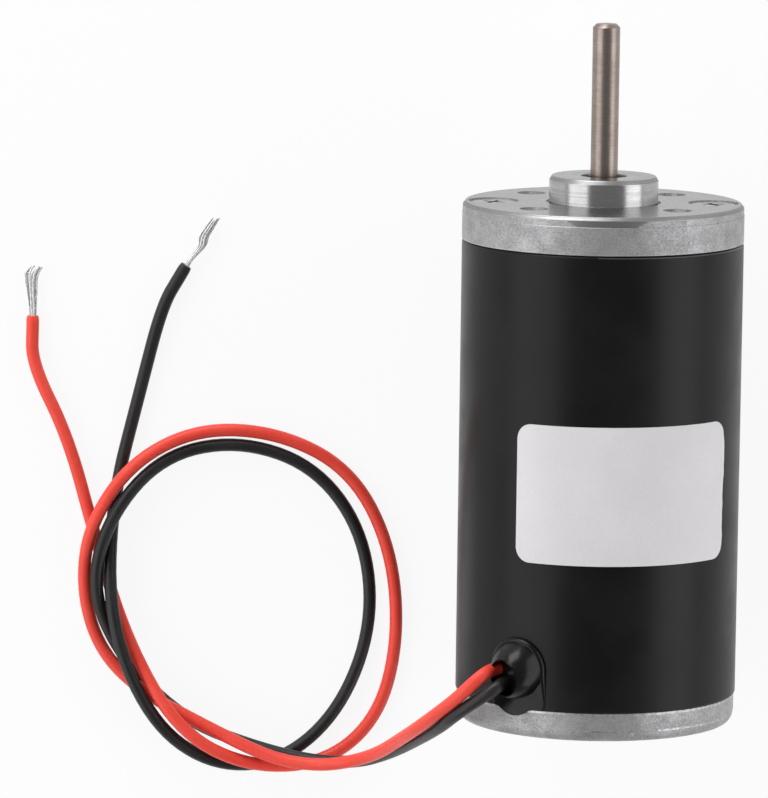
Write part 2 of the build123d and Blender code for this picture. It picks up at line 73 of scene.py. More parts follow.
def addCamera():
    camera = bpy.data.cameras.new("viewCamera")
    camera.lens = cameraSet["lens"]
    camera.sensor_width = cameraSet["sensor"]
    camera.clip_start, camera.clip_end = cameraSet["clip"]
    holder = bpy.data.objects.new("viewCamera", camera)
    scene.collection.objects.link(holder)
    tilt = Matrix.Rotation(-math.radians(cameraSet["tilt"]), 4, "X")
    roll = Matrix.Rotation(math.radians(cameraSet["roll"]), 4, "Z")
    holder.matrix_world = Matrix.Translation(cameraSet["place"]) @ tilt @ roll
    scene.camera = holder


addCamera()
print("camera placed")


# small helpers for node trees
def feed(tree, node, inputs):
    for key, value in inputs.items():
        if isinstance(value, bpy.types.NodeSocket):
            tree.links.new(value, node.inputs[key])
        else:
            node.inputs[key].default_value = value


def put(tree, kind, inputs=None, **settings):
    made = tree.nodes.new(kind)
    for key, value in settings.items():
        setattr(made, key, value)
    feed(tree, made, inputs or {})
    return made


def calc(tree, operation, first, second=0.0, clamp=False):
    made = put(tree, "ShaderNodeMath", {0: first, 1: second}, operation=operation, use_clamp=clamp)
    return made.outputs[0]


def blend(tree, share, first, second):
    part = calc(tree, "MULTIPLY", first, share)
    return calc(tree, "ADD", part, calc(tree, "MULTIPLY", second, 1 - share))


def spread(tree, value, low, high, toLow=0.0, toHigh=1.0):
    limits = {"Value": value, "From Min": low, "From Max": high, "To Min": toLow, "To Max": toHigh}
    return put(tree, "ShaderNodeMapRange", limits, interpolation_type="SMOOTHSTEP").outputs["Result"]


def tint(tree, factor, first, second):
    return put(tree, "ShaderNodeMix", {0: factor, 6: first, 7: second}, data_type="RGBA").outputs[2]


def noise(tree, vector, scale, detail, roughness):
    inputs = {"Vector": vector, "Scale": scale, "Detail": detail, "Roughness": roughness}
    return put(tree, "ShaderNodeTexNoise", inputs).outputs["Fac"]


def perSize(tree, size, share=1.0):
    # texture scale for a feature size in millimetres
    return calc(tree, "DIVIDE", share / mm, size)


def effect(name, inputs, outputs):
    # inputs are named as the values that they take, with sizes in millimetres
    group = bpy.data.node_groups.new(name, "ShaderNodeTree")
    for side, labels in (("INPUT", inputs), ("OUTPUT", outputs)):
        for label in labels:
            group.interface.new_socket(label, in_out=side, socket_type="NodeSocketFloat")
    return group, group.nodes.new("NodeGroupInput").outputs, group.nodes.new("NodeGroupOutput")


def objectPoint(tree):
    return put(tree, "ShaderNodeTexCoord").outputs["Object"]


# cast skin: cloudy tone, pale grains and small pits. A noise has its detail and roughness
castSkinSet = {
    "fineNoise": (4.0, 0.65), "cloudNoise": (3.0, 0.6),
    "cellShare": 0.7,  # pits per grain
    "pitEdge": (0.12, 0.3), "pitClouds": (0.38, 0.62), "fineShare": 0.6, "toneRange": (0.3, 0.7),
}


def castSkinGroup():
    values = castSkinSet
    group, given, result = effect("castSkin", ["grain", "cloud", "pitShare"], ["Tone", "Pits", "Height"])
    point = objectPoint(group)
    fine = noise(group, point, perSize(group, given["grain"]), *values["fineNoise"])
    cloud = noise(group, point, perSize(group, given["cloud"]), *values["cloudNoise"])
    scale = perSize(group, given["grain"], values["cellShare"])
    cells = put(group, "ShaderNodeTexVoronoi", {"Vector": point, "Scale": scale}).outputs["Distance"]
    pits = spread(group, cells, *values["pitEdge"], 1.0, 0.0)
    for share in (spread(group, cloud, *values["pitClouds"]), given["pitShare"]):
        pits = calc(group, "MULTIPLY", pits, share)
    tone = spread(group, blend(group, values["fineShare"], fine, cloud), *values["toneRange"])
    feed(group, result, {"Tone": tone, "Pits": pits, "Height": calc(group, "SUBTRACT", fine, pits)})
    return group


# lathe marks: fine rings round the shaft axis, on faces and on cylinders alike
latheMarksSet = {"lineNoise": (3.0, 0.7), "toneRange": (0.3, 0.7)}


def latheMarksGroup():
    values = latheMarksSet
    group, given, result = effect("latheMarks", ["pitch", "waver"], ["Tone", "Height"])
    x, y, z = put(group, "ShaderNodeSeparateXYZ", {0: objectPoint(group)}).outputs
    flat = put(group, "ShaderNodeCombineXYZ", {0: x, 1: z}).outputs[0]
    radius = put(group, "ShaderNodeVectorMath", {0: flat}, operation="LENGTH").outputs["Value"]
    turn = calc(group, "MULTIPLY", calc(group, "ARCTAN2", z, x), given["waver"])
    size = perSize(group, given["pitch"])
    place = {0: calc(group, "MULTIPLY", radius, size), 1: calc(group, "MULTIPLY", y, size), 2: turn}
    along = put(group, "ShaderNodeCombineXYZ", place).outputs[0]
    lines = noise(group, along, 1.0, *values["lineNoise"])
    feed(group, result, {"Tone": spread(group, lines, *values["toneRange"]), "Height": lines})
    return group


# edge rub: worn bright corners, broken up by noise
edgeRubSet = {
    "samples": 6, "bend": (0.99, 0.86), "patchScale": 900.0, "patchNoise": (4.0, 0.6), "patchRange": (0.35, 0.65),
}


def edgeRubGroup():
    values = edgeRubSet
    group, given, result = effect("edgeRub", ["rubWidth", "rubBreak"], ["Mask"])
    radius = calc(group, "MULTIPLY", given["rubWidth"], mm)
    bevel = put(group, "ShaderNodeBevel", {"Radius": radius}, samples=values["samples"]).outputs[0]
    flat = put(group, "ShaderNodeNewGeometry").outputs["Normal"]
    agree = put(group, "ShaderNodeVectorMath", {0: bevel, 1: flat}, operation="DOT_PRODUCT").outputs["Value"]
    bend = spread(group, agree, *values["bend"])
    patch = noise(group, objectPoint(group), values["patchScale"], *values["patchNoise"])
    broken = calc(group, "MULTIPLY", spread(group, patch, *values["patchRange"], 1.0, 0.0), given["rubBreak"])
    feed(group, result, {"Mask": calc(group, "SUBTRACT", bend, broken, clamp=True)})
    return group


# fine grain: tone and height of an even skin such as paint, vinyl, rubber or paper
fineGrainSet = {
    "grainNoise": (2.0, 0.5), "smudgeNoise": (4.0, 0.6), "toneRange": (0.3, 0.7), "smudgeRange": (0.35, 0.7),
}


def fineGrainGroup():
    values = fineGrainSet
    group, given, result = effect("fineGrain", ["grain", "smudge"], ["Tone", "Smudge", "Height"])
    point = objectPoint(group)
    grain = noise(group, point, perSize(group, given["grain"]), *values["grainNoise"])
    smudge = noise(group, point, perSize(group, given["smudge"]), *values["smudgeNoise"])
    tone = spread(group, grain, *values["toneRange"])
    feed(group, result, {"Tone": tone, "Smudge": spread(group, smudge, *values["smudgeRange"]), "Height": grain})
    return group


castSkin = castSkinGroup()
latheMarks = latheMarksGroup()
edgeRub = edgeRubGroup()
fineGrain = fineGrainGroup()
print("shared surface effects built")


def shader(name):
    material = bpy.data.materials.new(name)
    material.use_nodes = True
    return material, material.node_tree, material.node_tree.nodes["Principled BSDF"]


def useGroup(tree, group, values):
    names = [item.name for item in group.interface.items_tree if item.in_out == "INPUT"]
    return put(tree, "ShaderNodeGroup", {name: values[name] for name in names}, node_tree=group).outputs


def makeFinish(name, recipe, values):
    # a recipe gives the colour, roughness mask, bump height and the shader's other values
    material, tree, bsdf = shader(name)
    colour, mask, height, fixed = recipe(tree, values)
    rough = spread(tree, mask, 0.0, 1.0, *values["roughness"])  # from its first value to its second
    lift = put(tree, "ShaderNodeBump", {"Height": height, "Distance": values["bump"], "Strength": 1.0}).outputs[0]
    feed(tree, bsdf, {"Base Color": colour, "Roughness": rough, "Normal": lift, **fixed})
    return material


# cast metal of the two end pieces
castMetalSet = {
    "shade": (0.25, 0.25, 0.255, 1), "light": (0.44, 0.44, 0.448, 1), "pit": (0.11, 0.11, 0.11, 1),
    "rub": (0.62, 0.62, 0.63, 1), "grain": 0.21, "cloud": 2.2, "pitShare": 0.3, "rubWidth": 0.3,
    "rubBreak": 0.35, "metallic": 0.75, "roughness": (0.62, 0.46), "bump": 0.00003,
}


def castMetal(tree, values):
    skin = useGroup(tree, castSkin, values)
    paleEdge = useGroup(tree, edgeRub, values)["Mask"]
    colour = tint(tree, skin["Tone"], values["shade"], values["light"])
    colour = tint(tree, skin["Pits"], colour, values["pit"])
    colour = tint(tree, paleEdge, colour, values["rub"])
    return colour, skin["Tone"], skin["Height"], {"Metallic": values["metallic"]}


# turned metal: boss wall, flange edge and flange face; the darker edge metal is also a painted dark reflection on the
# boss's top edge and round the top of the flange's edge band
turnedSkinSet = {"grain": 0.5, "cloud": 3.0, "pitShare": 0.25, "waver": 0.4, "markShare": 0.7}
turnedMetalSets = {
    "turnedMetal": {
        "dull": (0.35, 0.35, 0.355, 1), "bright": (0.46, 0.46, 0.465, 1),
        "edge": (0.85, 0.85, 0.85, 1),  # tint of grazing light
        "pitch": 0.11, "roughness": (0.25, 0.15), "bump": 0.000004,
    },
    "edgeMetal": {
        "dull": (0.22, 0.22, 0.225, 1), "bright": (0.34, 0.34, 0.345, 1),
        "edge": (0.8, 0.8, 0.8, 1), "pitch": 0.1, "roughness": (0.46, 0.34), "bump": 0.000006,
    },
    "facedMetal": {
        "dull": (0.325, 0.325, 0.33, 1), "bright": (0.43, 0.43, 0.435, 1),
        "edge": (0.78, 0.78, 0.78, 1), "pitch": 0.14, "roughness": (0.3, 0.2), "bump": 0.000003,
    },
}


def turnedMetal(tree, values):
    shared = turnedSkinSet
    marks = useGroup(tree, latheMarks, {**shared, **values})
    skin = useGroup(tree, castSkin, shared)
    tone = blend(tree, shared["markShare"], marks["Tone"], skin["Tone"])
    colour = tint(tree, tone, values["dull"], values["bright"])
    colour = tint(tree, skin["Pits"], colour, castMetalSet["shade"])
    return colour, tone, marks["Height"], {"Metallic": 1.0, "Specular Tint": values["edge"]}


# ground steel of the shaft, slightly warm
shaftSteelSet = {
    "dull": (0.235, 0.19, 0.168, 1), "bright": (0.325, 0.275, 0.248, 1), "pitch": 0.16,
    "waver": 1.2, "grain": 0.4, "smudge": 3.5, "markShare": 0.5, "roughness": (0.4, 0.3),
    "bump": 0.000003,
}


def shaftSteel(tree, values):
    marks = useGroup(tree, latheMarks, values)
    film = useGroup(tree, fineGrain, values)
    tone = blend(tree, values["markShare"], marks["Tone"], film["Smudge"])
    colour = tint(tree, tone, values["dull"], values["bright"])
    return colour, tone, marks["Height"], {"Metallic": 1.0}


# satin black paint of the tube, and a paler paint on part of its front bend that is a painted highlight
paintRubSet = {"rubWidth": 0.35, "rubBreak": 0.55}
blackPaintSets = {
    "blackPaint": {
        "deep": (0.0035, 0.0033, 0.0037, 1), "pale": (0.0055, 0.0052, 0.0058, 1),
        "rub": (0.075, 0.075, 0.078, 1), "grain": 0.35, "smudge": 9.0, "roughness": (0.34, 0.42),
        "gloss": 0.2, "bump": 0.000004,
    },
    "wornPaint": {
        "deep": (0.034, 0.033, 0.035, 1), "pale": (0.06, 0.058, 0.061, 1),
        "rub": (0.09, 0.09, 0.093, 1), "grain": 0.35, "smudge": 3.0, "roughness": (0.3, 0.38),
        "gloss": 0.4, "bump": 0.000004,
    },
}


def blackPaint(tree, values):
    skin = useGroup(tree, fineGrain, values)
    paleEdge = useGroup(tree, edgeRub, paintRubSet)["Mask"]
    colour = tint(tree, skin["Smudge"], values["deep"], values["pale"])
    colour = tint(tree, paleEdge, colour, values["rub"])
    return colour, skin["Smudge"], skin["Height"], {"Specular IOR Level": values["gloss"]}


# soft and dull skins: rubber, vinyl, label stock and the pieces inside that aren't metal, in the order of the keys
softSkinKeys = ("deep", "pale", "grain", "smudge", "grainShare", "roughness", "gloss", "bump")
softSkinRows = {
    "blackRubber": (
        (0.0035, 0.0034, 0.0037, 1), (0.006, 0.0058, 0.0062, 1), 0.3, 2.0, 0.5, (0.19, 0.27), 0.22, 0.000006,
    ),
    "redVinyl": ((0.83, 0.061, 0.039, 1), (0.92, 0.083, 0.057, 1), 0.35, 6.0, 0.4, (0.36, 0.48), 0.3, 0.000005),
    "blackVinyl": ((0.011, 0.0106, 0.011, 1), (0.019, 0.0185, 0.019, 1), 0.35, 6.0, 0.4, (0.36, 0.5), 0.36, 0.000005),
    "labelPaper": ((0.66, 0.645, 0.665, 1), (0.715, 0.70, 0.72, 1), 0.25, 7.0, 0.45, (0.5, 0.62), 0.35, 0.000004),
    "ferrite": ((0.03, 0.03, 0.033, 1), (0.06, 0.06, 0.064, 1), 0.4, 3.0, 0.6, (0.45, 0.6), 0.4, 0.00001),
    "fibre": ((0.4, 0.27, 0.14, 1), (0.55, 0.4, 0.24, 1), 0.3, 2.0, 0.6, (0.6, 0.75), 0.3, 0.00001),
    "phenolic": ((0.1, 0.045, 0.02, 1), (0.17, 0.085, 0.045, 1), 0.4, 3.0, 0.5, (0.4, 0.55), 0.45, 0.000008),
    "carbon": ((0.015, 0.015, 0.015, 1), (0.035, 0.035, 0.036, 1), 0.25, 2.0, 0.6, (0.5, 0.65), 0.4, 0.00001),
}


def softSkin(tree, values):
    skin = useGroup(tree, fineGrain, values)
    mix = blend(tree, values["grainShare"], skin["Tone"], skin["Smudge"])
    colour = tint(tree, mix, values["deep"], values["pale"])
    return colour, mix, skin["Height"], {"Specular IOR Level": values["gloss"]}


# plain metals: screws, holes darkened as painted shade, rubbed edges that also carry painted highlights, strands and
# the metal inside, in the order of the keys
plainMetalKeys = ("deep", "pale", "grain", "smudge", "roughness", "bump")
plainMetalRows = {
    "screwSteel": ((0.30, 0.30, 0.305, 1), (0.50, 0.50, 0.51, 1), 0.3, 1.5, (0.34, 0.48), 0.000008),
    "drilledMetal": ((0.17, 0.17, 0.175, 1), (0.27, 0.27, 0.275, 1), 0.25, 1.5, (0.6, 0.72), 0.00001),
    # paler metal: a painted highlight on the cap's front band and step, and the cap's pale parting line
    "rubbedMetal": ((0.34, 0.34, 0.345, 1), (0.54, 0.54, 0.55, 1), 0.4, 2.5, (0.42, 0.55), 0.00001),
    "tinnedWire": ((0.70, 0.70, 0.71, 1), (0.86, 0.86, 0.87, 1), 0.4, 1.5, (0.42, 0.52), 0.000001),
    "bronze": ((0.32, 0.2, 0.1, 1), (0.5, 0.34, 0.18, 1), 0.15, 1.5, (0.4, 0.55), 0.000006),
    "brass": ((0.6, 0.42, 0.15, 1), (0.75, 0.56, 0.25, 1), 0.3, 2.0, (0.25, 0.4), 0.000003),
    "copper": ((0.55, 0.2, 0.09, 1), (0.75, 0.36, 0.2, 1), 0.5, 2.0, (0.25, 0.45), 0.00002),
    "coreSteel": ((0.2, 0.2, 0.205, 1), (0.32, 0.32, 0.33, 1), 0.35, 2.0, (0.35, 0.5), 0.00001),
}


def plainMetal(tree, values):
    skin = useGroup(tree, fineGrain, values)
    colour = tint(tree, skin["Tone"], values["deep"], values["pale"])
    return colour, skin["Smudge"], skin["Height"], {"Metallic": 1.0}


recipes = (
    (castMetal, {"castMetal": castMetalSet}),
    (turnedMetal, turnedMetalSets),
    (shaftSteel, {"shaftSteel": shaftSteelSet}),
    (blackPaint, blackPaintSets),
    (softSkin, {name: dict(zip(softSkinKeys, row)) for name, row in softSkinRows.items()}),
    (plainMetal, {name: dict(zip(plainMetalKeys, row)) for name, row in plainMetalRows.items()}),
)
finishes = {name: makeFinish(name, recipe, values) for recipe, sets in recipes for name, values in sets.items()}
print("finishes built:", len(finishes))


# every carried-over node takes the finish that its slot in the record names
def dressNodes():
    for entry in frame["record"]["subparts"]:
        first, *rest = entry["material_slot"].split("_")
        mesh = frame["nodes"][entry["node"]].data
        mesh.materials.clear()
        mesh.materials.append(finishes[first + "".join(word.capitalize() for word in rest)])


dressNodes()
print("CAD nodes dressed")


# mesh helpers
def roundCorners(corners, steps=5):
    # corners are (radius, along, bend) in millimetres, in order round a closed outline
    points = []
    for index, (across, along, bend) in enumerate(corners):
        here = Vector((across, along))
        if bend == 0:
            points.append(here)
            continue
        before = (Vector(corners[index - 1][:2]) - here).normalized()
        after = (Vector(corners[(index + 1) % len(corners)][:2]) - here).normalized()
        half = before.angle(after) / 2
        centre = here + (before + after).normalized() * (bend / math.sin(half))
        start = here + before * (bend / math.tan(half)) - centre
        end = here + after * (bend / math.tan(half)) - centre
        swing = start.angle_signed(end)
        for step in range(steps + 1):
            turned = start.copy()
            turned.rotate(Matrix.Rotation(-swing * step / steps, 2))
            points.append(centre + turned)
    return points


def bridge(shape, last, ring):
    for step in range(len(ring)):
        following = (step + 1) % len(ring)
        corners = list(dict.fromkeys([last[step], last[following], ring[following], ring[step]]))
        if len(corners) > 2:
            shape.faces.new(corners)


def lathe(outline, segments):
    # turns a closed outline of (radius, along Y) in millimetres round the shaft axis
    shape = bmesh.new()
    rings = []
    for across, along in outline:
        if across < tiny:
            rings.append([shape.verts.new((0, along * mm, 0))] * segments)
            continue
        ring = []
        for step in range(segments):
            angle = 2 * math.pi * step / segments
            ring.append(shape.verts.new((across * mm * math.cos(angle), along * mm, across * mm * math.sin(angle))))
        rings.append(ring)
    for index, ring in enumerate(rings):
        bridge(shape, rings[index - 1], ring)
    return shape


def latheAt(places, outline, segments):
    # the same turned shape at several places, in one shape
    shape = bmesh.new()
    for place in places:
        single = lathe(outline, segments)
        bmesh.ops.translate(single, verts=single.verts, vec=place)
        part = bpy.data.meshes.new("single")
        single.to_mesh(part)
        single.free()
        shape.from_mesh(part)
        bpy.data.meshes.remove(part)
    return shape


def newObject(name, data):
    piece = bpy.data.objects.new(name, data)
    scene.collection.objects.link(piece)
    return piece


def solid(name, shape):
    bmesh.ops.recalc_face_normals(shape, faces=shape.faces)
    mesh = bpy.data.meshes.new(name)
    shape.to_mesh(mesh)
    shape.free()
    return newObject(name, mesh)


def settle(piece):
    # bakes the modifiers into the mesh
    view = bpy.context.evaluated_depsgraph_get()
    baked = bpy.data.meshes.new_from_object(piece.evaluated_get(view))
    old = piece.data
    piece.modifiers.clear()
    piece.data = baked
    bpy.data.meshes.remove(old)


def carve(piece, cutters):
    for cutter in cutters:
        cut = piece.modifiers.new("cut", "BOOLEAN")
        cut.operation = "DIFFERENCE"
        cut.solver = "EXACT"
        cut.object = cutter
        settle(piece)
        data = cutter.data
        bpy.data.objects.remove(cutter)
        bpy.data.meshes.remove(data)


def drill(name, place, outline, segments=48):
    # a turned cutter whose axis is moved to one side of the shaft axis
    cutter = solid(name, lathe(outline, segments))
    cutter.location = place
    return cutter


def boxCutter(name, size, matrix):
    # size is in millimetres
    shape = bmesh.new()
    bmesh.ops.create_cube(shape, size=1)
    bmesh.ops.scale(shape, verts=shape.verts, vec=Vector(size) * mm)
    bmesh.ops.transform(shape, verts=shape.verts, matrix=matrix)
    return solid(name, shape)


def paint(piece, *names):
    for name in names:
        piece.data.materials.append(finishes[name])


def smooth(piece, angle=30, weight=80):
    mesh = piece.data
    for face in mesh.polygons:
        face.use_smooth = True
    mesh.set_sharp_from_angle(angle=math.radians(angle))
    steady = piece.modifiers.new("steadyNormals", "WEIGHTED_NORMAL")
    steady.keep_sharp = True
    steady.weight = weight
    settle(piece)


def carry(piece, body, slot, *nodes):
    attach(piece, body)
    if nodes:
        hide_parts(*nodes)
    return piece


def faceTurn(face):
    # degrees from the top towards +X
    return math.degrees(math.atan2(face.center.x, face.center.z))


cutPast = 1.0  # how far a cutter reaches past the solid, in millimetres

# housing tube with its grommet notch
tubeSet = {
    "wall": 1.5, "innerBend": 0.15, "frontBend": 0.42, "backBend": 0.22,
    "wornSpan": (-3, 77),  # painted highlight on the front bend: its length, in degrees from the top
    "wornTilt": (0.3, 0.62),  # and how far its faces lean to the front
    "notchRoom": 0.05, "notchSteps": 96, "segments": 200,
}
grommetSet = {
    "turn": 35.0,  # degrees from the top towards the leads
    "depth": 50.4,  # behind the mounting face
    "skin": 0.02,  # gap to the tube
    "plugWidth": 5.0, "plugTop": 2.5, "plugDrop": 2.35, "plugRoom": 0.05, "plugBevel": 0.1,
    "flangeWidth": 6.9, "flangeTop": 3.95, "flangeHeight": 0.55,
    # inset and share of the height, up the flange's rounded edge
    "flangeEdge": ((0.04, 0.0), (0.0, 0.12), (0.0, 0.4), (0.05, 0.68), (0.14, 0.88), (0.26, 0.98), (0.36, 1.0)),
    "flangeEase": 3,  # rounds of smoothing of its outline
    "legHeight": 0.08, "legFade": 3.0, "lobeWidth": 4.0, "lobeReach": 0.86, "lobeShift": -0.45,
    "lobePower": 1.5, "lobeStep": 0.01, "domeRadius": 3.25,
    "domeShift": (0.0, 0.42),  # middle of the dome's foot, across and along
    "domeStart": 75.0,  # degrees from the dome's axis at its foot
    "domeEnd": 40.0, "domeRings": 22, "mouthShift": (-0.36, -0.3),
    "mouthLean": (0.28, 0.14),  # rise per millimetre across and along
    # inset and fall from the dome's end: a fine step, a narrow rounded lip, then the cup that the leads come through
    "lip": (
        (0.02, 0.08), (0.06, 0.09), (0.09, 0.03), (0.12, 0.0), (0.13, 0.01), (0.16, 0.06), (0.17, 0.15), (0.21, 1.3),
    ),
    "sharp": 60, "segments": 144,
}
grommetTurn = math.radians(grommetSet["turn"])
grommetOut = Vector((-math.sin(grommetTurn), 0, math.cos(grommetTurn)))
grommetSide = Vector((math.cos(grommetTurn), 0, math.sin(grommetTurn)))
grommetHeart = Vector((0, -grommetSet["depth"] * mm, 0))
tubeBackDrop = -tubeLow.y / mm - grommetSet["depth"]  # from the grommet's middle to the tube's rear edge


def horseshoeReach(angle, width, top, drop):
    # distance from the middle to a round-topped outline, in a direction measured from the side towards the front
    across, along = math.cos(angle), math.sin(angle)
    half = width / 2
    centre = top - half
    inside = along * centre
    reach = inside + math.sqrt(inside * inside - centre * centre + half * half)
    if reach * along >= centre:
        return reach
    reach = half / max(abs(across), tiny)
    return min(reach, drop / -along) if along < 0 else reach


def flangeOutline(angle):
    # the same outline with a pointed lobe that hangs over the cap
    values = SimpleNamespace(**grommetSet)
    reach = horseshoeReach(angle, values.flangeWidth, values.flangeTop, tubeBackDrop)

    def inLobe(distance):
        across = (distance * math.cos(angle) - values.lobeShift) / (values.lobeWidth / 2)
        along = (distance * math.sin(angle) + tubeBackDrop) / values.lobeReach
        return abs(across) ** values.lobePower + abs(along) ** values.lobePower < 1

    while inLobe(reach + values.lobeStep):
        reach += values.lobeStep
    return reach


def notchCutter(inner, outer):
    shape = bmesh.new()
    count = tubeSet["notchSteps"]
    room = tubeSet["notchRoom"]
    rings = []
    for height in (inner - cutPast, outer + cutPast):
        ring = []
        for step in range(count):
            angle = 2 * math.pi * step / count
            width, top = grommetSet["plugWidth"] + 2 * room, grommetSet["plugTop"] + room
            reach = horseshoeReach(angle, width, top, tubeBackDrop + 2 * cutPast)
            across = grommetSide * (reach * math.cos(angle) * mm)
            along = Vector((0, reach * math.sin(angle) * mm, 0))
            ring.append(shape.verts.new(grommetHeart + grommetOut * (height * mm) + across + along))
        rings.append(ring)
    bridge(shape, *rings)
    for ring in rings:
        shape.faces.new(ring)
    return solid("notchCutter", shape)


def buildTube():
    values = SimpleNamespace(**tubeSet)
    outer = bodyRadius / mm
    inner = outer - values.wall
    front = tubeHigh.y / mm
    back = tubeLow.y / mm
    outline = roundCorners([
        (inner, front, values.innerBend), (outer, front, values.frontBend),
        (outer, back, values.backBend), (inner, back, values.innerBend),
    ])
    piece = solid("tubeShell", lathe(outline, values.segments))
    carve(piece, [notchCutter(inner, outer)])
    paint(piece, "blackPaint", "wornPaint")
    (spanLow, spanHigh), (tiltLow, tiltHigh) = values.wornSpan, values.wornTilt
    # faces of the front bend on the upper side, within the span and the lean, take the paler paint as a painted
    # highlight
    for face in piece.data.polygons:
        onBend = face.center.y > (front - values.frontBend) * mm and face.center.z > 0
        if onBend and tiltLow < face.normal.y < tiltHigh and spanLow < faceTurn(face) < spanHigh:
            face.material_index = 1
    smooth(piece)
    carry(piece, "stator", "black_paint", "housing_tube")


buildTube()
print("tube built")


# front flange with its boss, tapped holes and countersunk holes
flangeSet = {
    "edgeInset": 0.36, "edgeDrop": 0.42, "edgeBend": 0.12, "edgeEase": 1.5,
    "bandInset": 0.04,  # narrow band behind the front edge
    "bandRows": ((0.65, 17), (0.88, 15), (1.12, 13)),  # rear edge of each row, and half its stretch of darker metal round the top in degrees: a painted dark reflection
    "bandBend": 0.02, "stepBend": 0.04, "backBend": 0.1, "bossRadius": 6.0, "bossChamfer": 0.3,
    "bossSlope": 1.6,  # length of the chamfer along the axis, as a share of its width
    "bossDull": 0.45,  # darker top edge of the boss: a painted dark reflection
    "grooveWidth": 0.3, "grooveDepth": 0.25, "grooveBend": 0.05, "grooveEdge": 0.07,
    "wallReach": 0.5,  # how far the boss wall's finish goes past its foot
    "openingRadius": 2.5, "openingBend": 0.12, "bushRadius": 4.01, "bushFront": 0.8,
    "holeCircle": (11.0, 4, 45),  # radius, count and turn of the first
    "screwCircle": (12.07, 2, 0), "holeRadius": 1.25, "holeChamfer": 0.35, "screwHead": 2.8,
    "screwHole": 1.7, "screwSegments": 64,
    "holeRim": 0.02,  # painted shade of the holes, past their edges
    "faceSkin": 0.002, "faceTilt": 0.6, "edgeTilt": 0.2, "segments": 200,
}
flangeBack = tubeHigh.y / mm


def circlePlaces(radius, count, start):
    turns = [math.radians(start + 360 / count * step) for step in range(count)]
    return [Vector((radius * mm * math.cos(turn), 0, radius * mm * math.sin(turn))) for turn in turns]


holePlaces = circlePlaces(*flangeSet["holeCircle"])
screwPlaces = circlePlaces(*flangeSet["screwCircle"])


def buildFlange():
    values = SimpleNamespace(**flangeSet)
    outer = flangeHigh.x / mm
    top = flangeHigh.y / mm
    boss = values.bossRadius
    groove = boss + values.grooveWidth
    bend = values.edgeBend
    band = outer - values.bandInset
    bandBack = values.bandRows[-1][0]
    outline = roundCorners([
        (values.openingRadius, values.bushFront, 0),
        (values.openingRadius, top, values.openingBend),
        (boss - values.bossChamfer, top, bend),
        (boss, top - values.bossChamfer * values.bossSlope, bend),
        (boss, -values.grooveDepth, values.grooveBend),
        (groove, -values.grooveDepth, values.grooveBend), (groove, 0, values.grooveEdge),
        (outer - values.edgeInset, 0, bend), (band, -values.edgeDrop, bend * values.edgeEase),
        *[(band, -back, 0) for back, half in values.bandRows[:-1]],
        (band, -bandBack, values.bandBend),
        (outer, -bandBack - values.bandInset, values.stepBend),
        (outer, flangeBack, values.backBend), (values.bushRadius, flangeBack, 0),
        (values.bushRadius, values.bushFront, 0),
    ])
    piece = solid("flangeBody", lathe(outline, values.segments))
    hole, edge = values.holeRadius, values.holeChamfer
    head, clear = values.screwHead, values.screwHole
    end = flangeBack - cutPast
    tapped = [(0, cutPast), (hole + edge + cutPast, cutPast), (hole, -edge), (hole, end), (0, end)]
    sunk = [(0, cutPast), (head + cutPast, cutPast), (clear, clear - head), (clear, end), (0, end)]
    cutters = [drill("tapCutter", place, tapped) for place in holePlaces]
    cutters += [drill("sinkCutter", place, sunk, values.screwSegments) for place in screwPlaces]
    carve(piece, cutters)
    order = ("castMetal", "turnedMetal", "facedMetal", "drilledMetal", "edgeMetal")
    paint(piece, *order)
    turnedEdge = (outer - values.edgeInset) * mm
    bandEnd = -(bandBack + values.bandInset) * mm
    holes = [(place, hole + edge + values.holeRim) for place in holePlaces]
    holes += [(place, head + values.holeRim) for place in screwPlaces]

    def finishOf(face):
        middle = Vector((face.center.x, 0, face.center.z))
        across, level, tilt = middle.length, face.center.y, face.normal.y
        # hole walls, chamfers and countersinks take the darker hole metal: painted shade in the recesses
        if level < -values.faceSkin * mm and any((middle - place).length < reach * mm for place, reach in holes):
            return "drilledMetal"
        if tilt > values.faceTilt and across < turnedEdge:
            return "facedMetal"
        # the boss's top edge takes the darker edge metal: a painted dark reflection
        if level > (top - values.bossDull) * mm:
            return "edgeMetal"
        # round the top, the edge band takes darker metal in a lens shape: a painted dark reflection
        if level > bandEnd and across > turnedEdge:
            bright = next((half for back, half in values.bandRows if level > -back * mm), 0)
            return "edgeMetal" if abs(faceTurn(face)) < bright or tilt > values.edgeTilt else "castMetal"
        onWall = level > bandEnd and across < (boss + values.wallReach) * mm
        return "turnedMetal" if onWall else "castMetal"

    for face in piece.data.polygons:
        face.material_index = order.index(finishOf(face))
    smooth(piece)
    carry(piece, "stator", "cast_metal", "front_flange")


buildFlange()
print("flange built")


# threads that show inside the tapped holes
threadSet = {
    "major": 1.34, "minor": 1.2, "pitch": 0.5, "front": -0.35, "turns": 7, "wall": 0.15, "sharp": 50, "segments": 40,
}


def buildThreads():
    values = SimpleNamespace(**threadSet)
    wall = []
    for turn in range(values.turns):
        start = values.front - turn * values.pitch
        wall += [(values.major, start), (values.minor, start - values.pitch / 2)]
    outside = values.major + values.wall
    outline = wall + [(outside, wall[-1][1]), (outside, wall[0][1])]
    piece = solid("holeThreads", latheAt(holePlaces, outline, values.segments))
    # the threads take the same darker metal: painted shade in the holes
    paint(piece, "drilledMetal")
    smooth(piece, values.sharp)
    carry(piece, "stator", "cast_metal")


buildThreads()
print("hole threads built")


